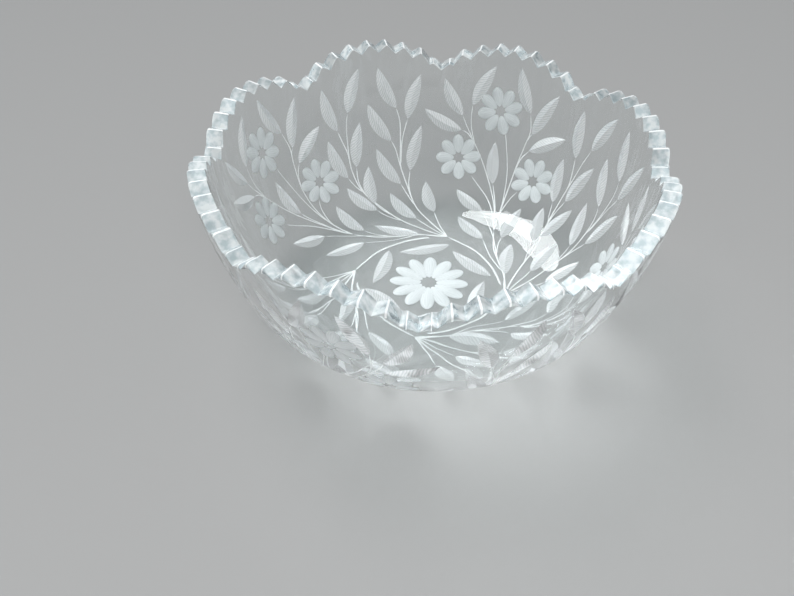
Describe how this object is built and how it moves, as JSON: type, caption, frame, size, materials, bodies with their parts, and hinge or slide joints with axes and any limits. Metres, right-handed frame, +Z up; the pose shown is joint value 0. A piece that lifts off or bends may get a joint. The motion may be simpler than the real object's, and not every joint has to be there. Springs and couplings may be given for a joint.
{
  "type": "cut glass bowl",
  "caption": "Round footless cut glass bowl with a scalloped saw-tooth rim and an engraved pattern of daisies and leafy sprays on its outside.",
  "frame": {"origin": "centre of the flat underside of the base", "axes": "+Z up through the mouth; +X and +Y each point at a valley of the scalloped rim"},
  "size_m": [0.2024, 0.2024, 0.0836],
  "materials": {
    "crystal": "polished clear glass, with the engraved petals left satin"
  },
  "bodies": {
    "root": {"bowl": "crystal"}
  },
  "joints": []
}
